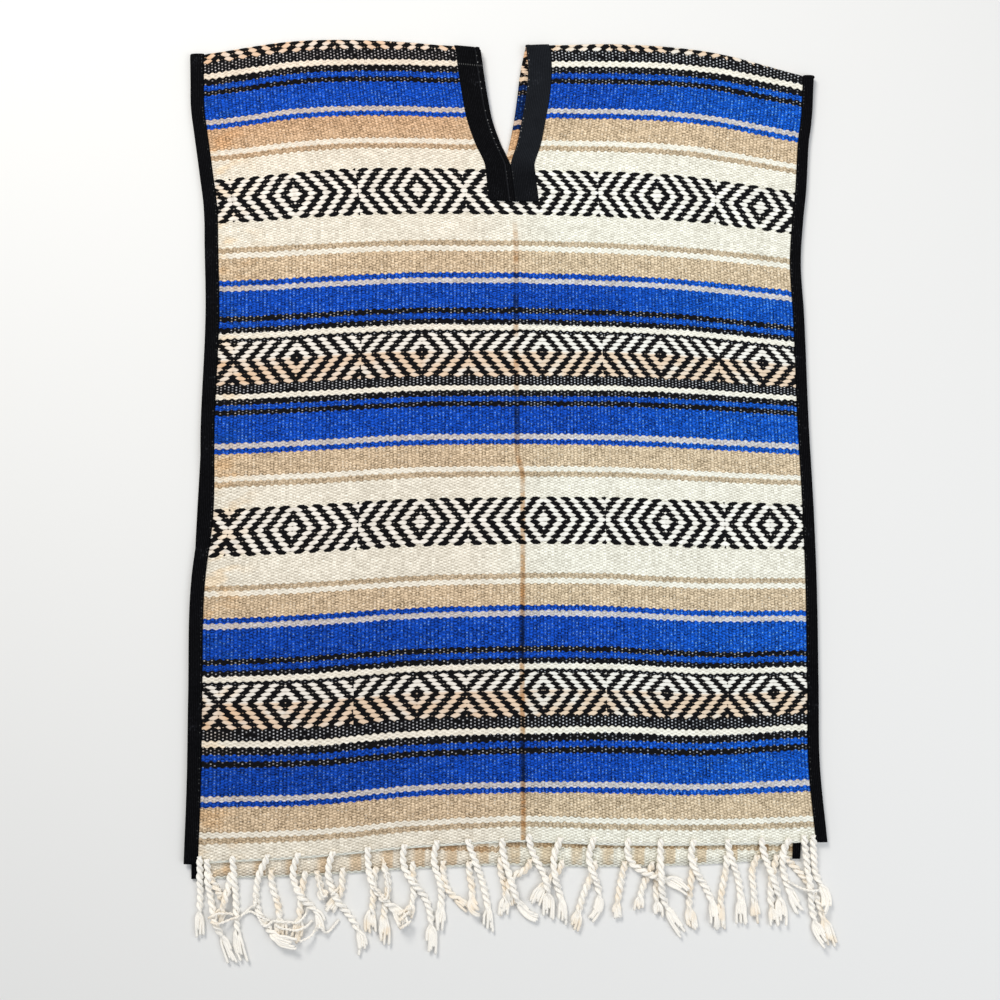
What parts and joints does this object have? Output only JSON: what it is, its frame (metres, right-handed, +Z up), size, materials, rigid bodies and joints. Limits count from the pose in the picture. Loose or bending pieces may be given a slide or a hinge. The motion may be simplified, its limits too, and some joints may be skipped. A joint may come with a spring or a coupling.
{
  "type": "serape cloth poncho laid flat",
  "caption": "V-neck poncho of striped serape cloth, laid flat, with taped neck and sides and corded fringe on both hems.",
  "frame": {"origin": "on the surface that the garment lies on, under the middle of its outline", "axes": "+X to the right, +Y towards the shoulder fold, +Z up from the surface"},
  "size_m": [0.7478, 1.0744, 0.0194],
  "materials": {
    "striped_weave": "coarse woven cotton and acrylic, blue, black, cream and tan stripes with bands of lozenges",
    "black_tape": "matte ribbed woven tape",
    "cream_cord": "loosely twisted matte yarn"
  },
  "bodies": {
    "root": {"serape_front": "striped_weave", "serape_back": "striped_weave", "serape_chest_left": "striped_weave", "serape_chest_right": "striped_weave", "serape_shoulder_left": "striped_weave", "serape_shoulder_right": "striped_weave", "serape_nape_left": "striped_weave", "serape_nape_right": "striped_weave", "side_binding_left": "black_tape", "side_binding_right": "black_tape", "neck_tape_left": "black_tape", "neck_tape_right": "black_tape", "fringe_front": "cream_cord", "fringe_back": "cream_cord"}
  },
  "joints": []
}
